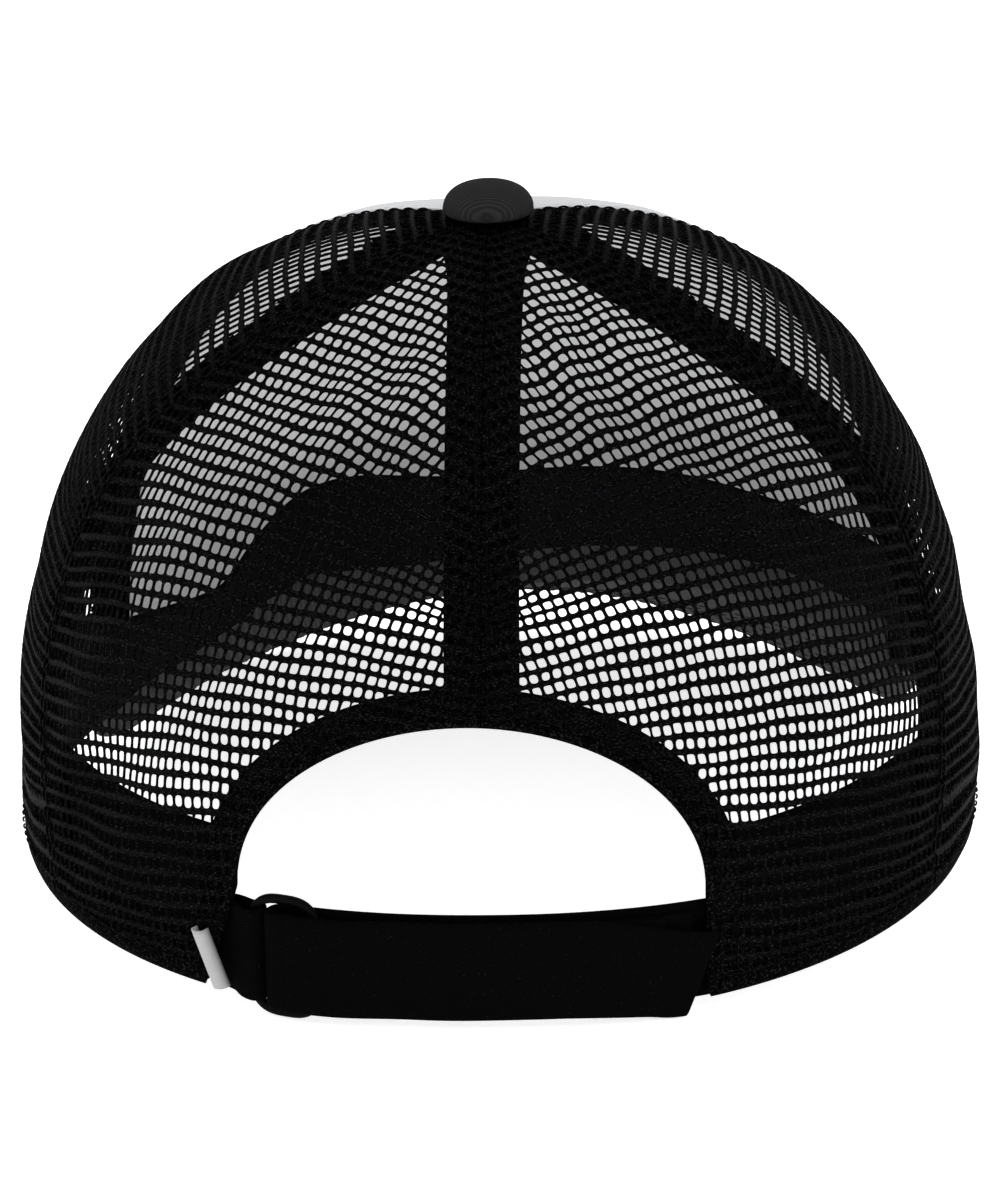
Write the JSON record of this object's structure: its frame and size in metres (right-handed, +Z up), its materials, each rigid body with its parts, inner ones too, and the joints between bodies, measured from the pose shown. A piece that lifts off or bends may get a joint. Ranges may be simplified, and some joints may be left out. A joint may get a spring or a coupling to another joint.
{
  "type": "trucker mesh cap",
  "caption": "Trucker cap with a white front, black mesh sides and back, curved brim, covered top button, arched back opening and a ring-and-strap closure.",
  "frame": {"origin": "on the surface the cap lies on, under the middle of its bounding box", "axes": "+Z up, the brim points to -Y, the strap and the back opening face +Y, +X is the wearer's left"},
  "size_m": [0.1864, 0.2671, 0.1385],
  "materials": {
    "white_cloth": "plain weave, matt",
    "backing": "fused, matt",
    "black_mesh": "knitted open mesh, slight sheen",
    "black_tape": "woven tape, matt",
    "black_band": "brushed, matt",
    "charcoal_cloth": "fine rib, matt",
    "brim_board": "moulded sheet",
    "button_metal": "stamped",
    "black_webbing": "fine diagonal twill, matt",
    "black_pile": "hook and loop pile",
    "black_plastic": "satin moulding",
    "white_ribbon": "plain ribbon, blank"
  },
  "bodies": {
    "cap": {"front_panel": "white_cloth", "front_stiffener": "backing", "side_mesh_left": "black_mesh", "side_mesh_right": "black_mesh", "back_mesh_left": "black_mesh", "back_mesh_right": "black_mesh", "seam_tape_centre_back": "black_tape", "seam_tape_back_left": "black_tape", "seam_tape_back_right": "black_tape", "seam_tape_front_left": "black_tape", "seam_tape_front_right": "black_tape", "arch_tape": "black_tape", "sweatband": "black_band", "brim_top_cover": "charcoal_cloth", "brim_board": "brim_board", "brim_under_cover": "charcoal_cloth", "button_cover": "charcoal_cloth", "button_shell": "button_metal", "button_prong": "button_metal", "strap_run": "black_webbing", "loop_tape": "black_pile", "ring_tab": "black_webbing", "tag": "white_ribbon"},
    "tail": {"strap_tail": "black_webbing", "hook_tape": "black_pile"},
    "ring": {"ring": "black_plastic"}
  },
  "joints": [
    {"name": "strap_peel", "type": "hinge", "parent": "cap", "child": "tail", "pos_m": [0.03484, 0.12919, 0.01167], "axis": [0, -0.0618, -0.9981], "range_deg": [0, 110]},
    {"name": "ring_swivel", "type": "hinge", "parent": "cap", "child": "ring", "pos_m": [0.04298, 0.12189, 0.01202], "axis": [0, 0.0618, 0.9981], "range_deg": [-4, 4]}
  ]
}
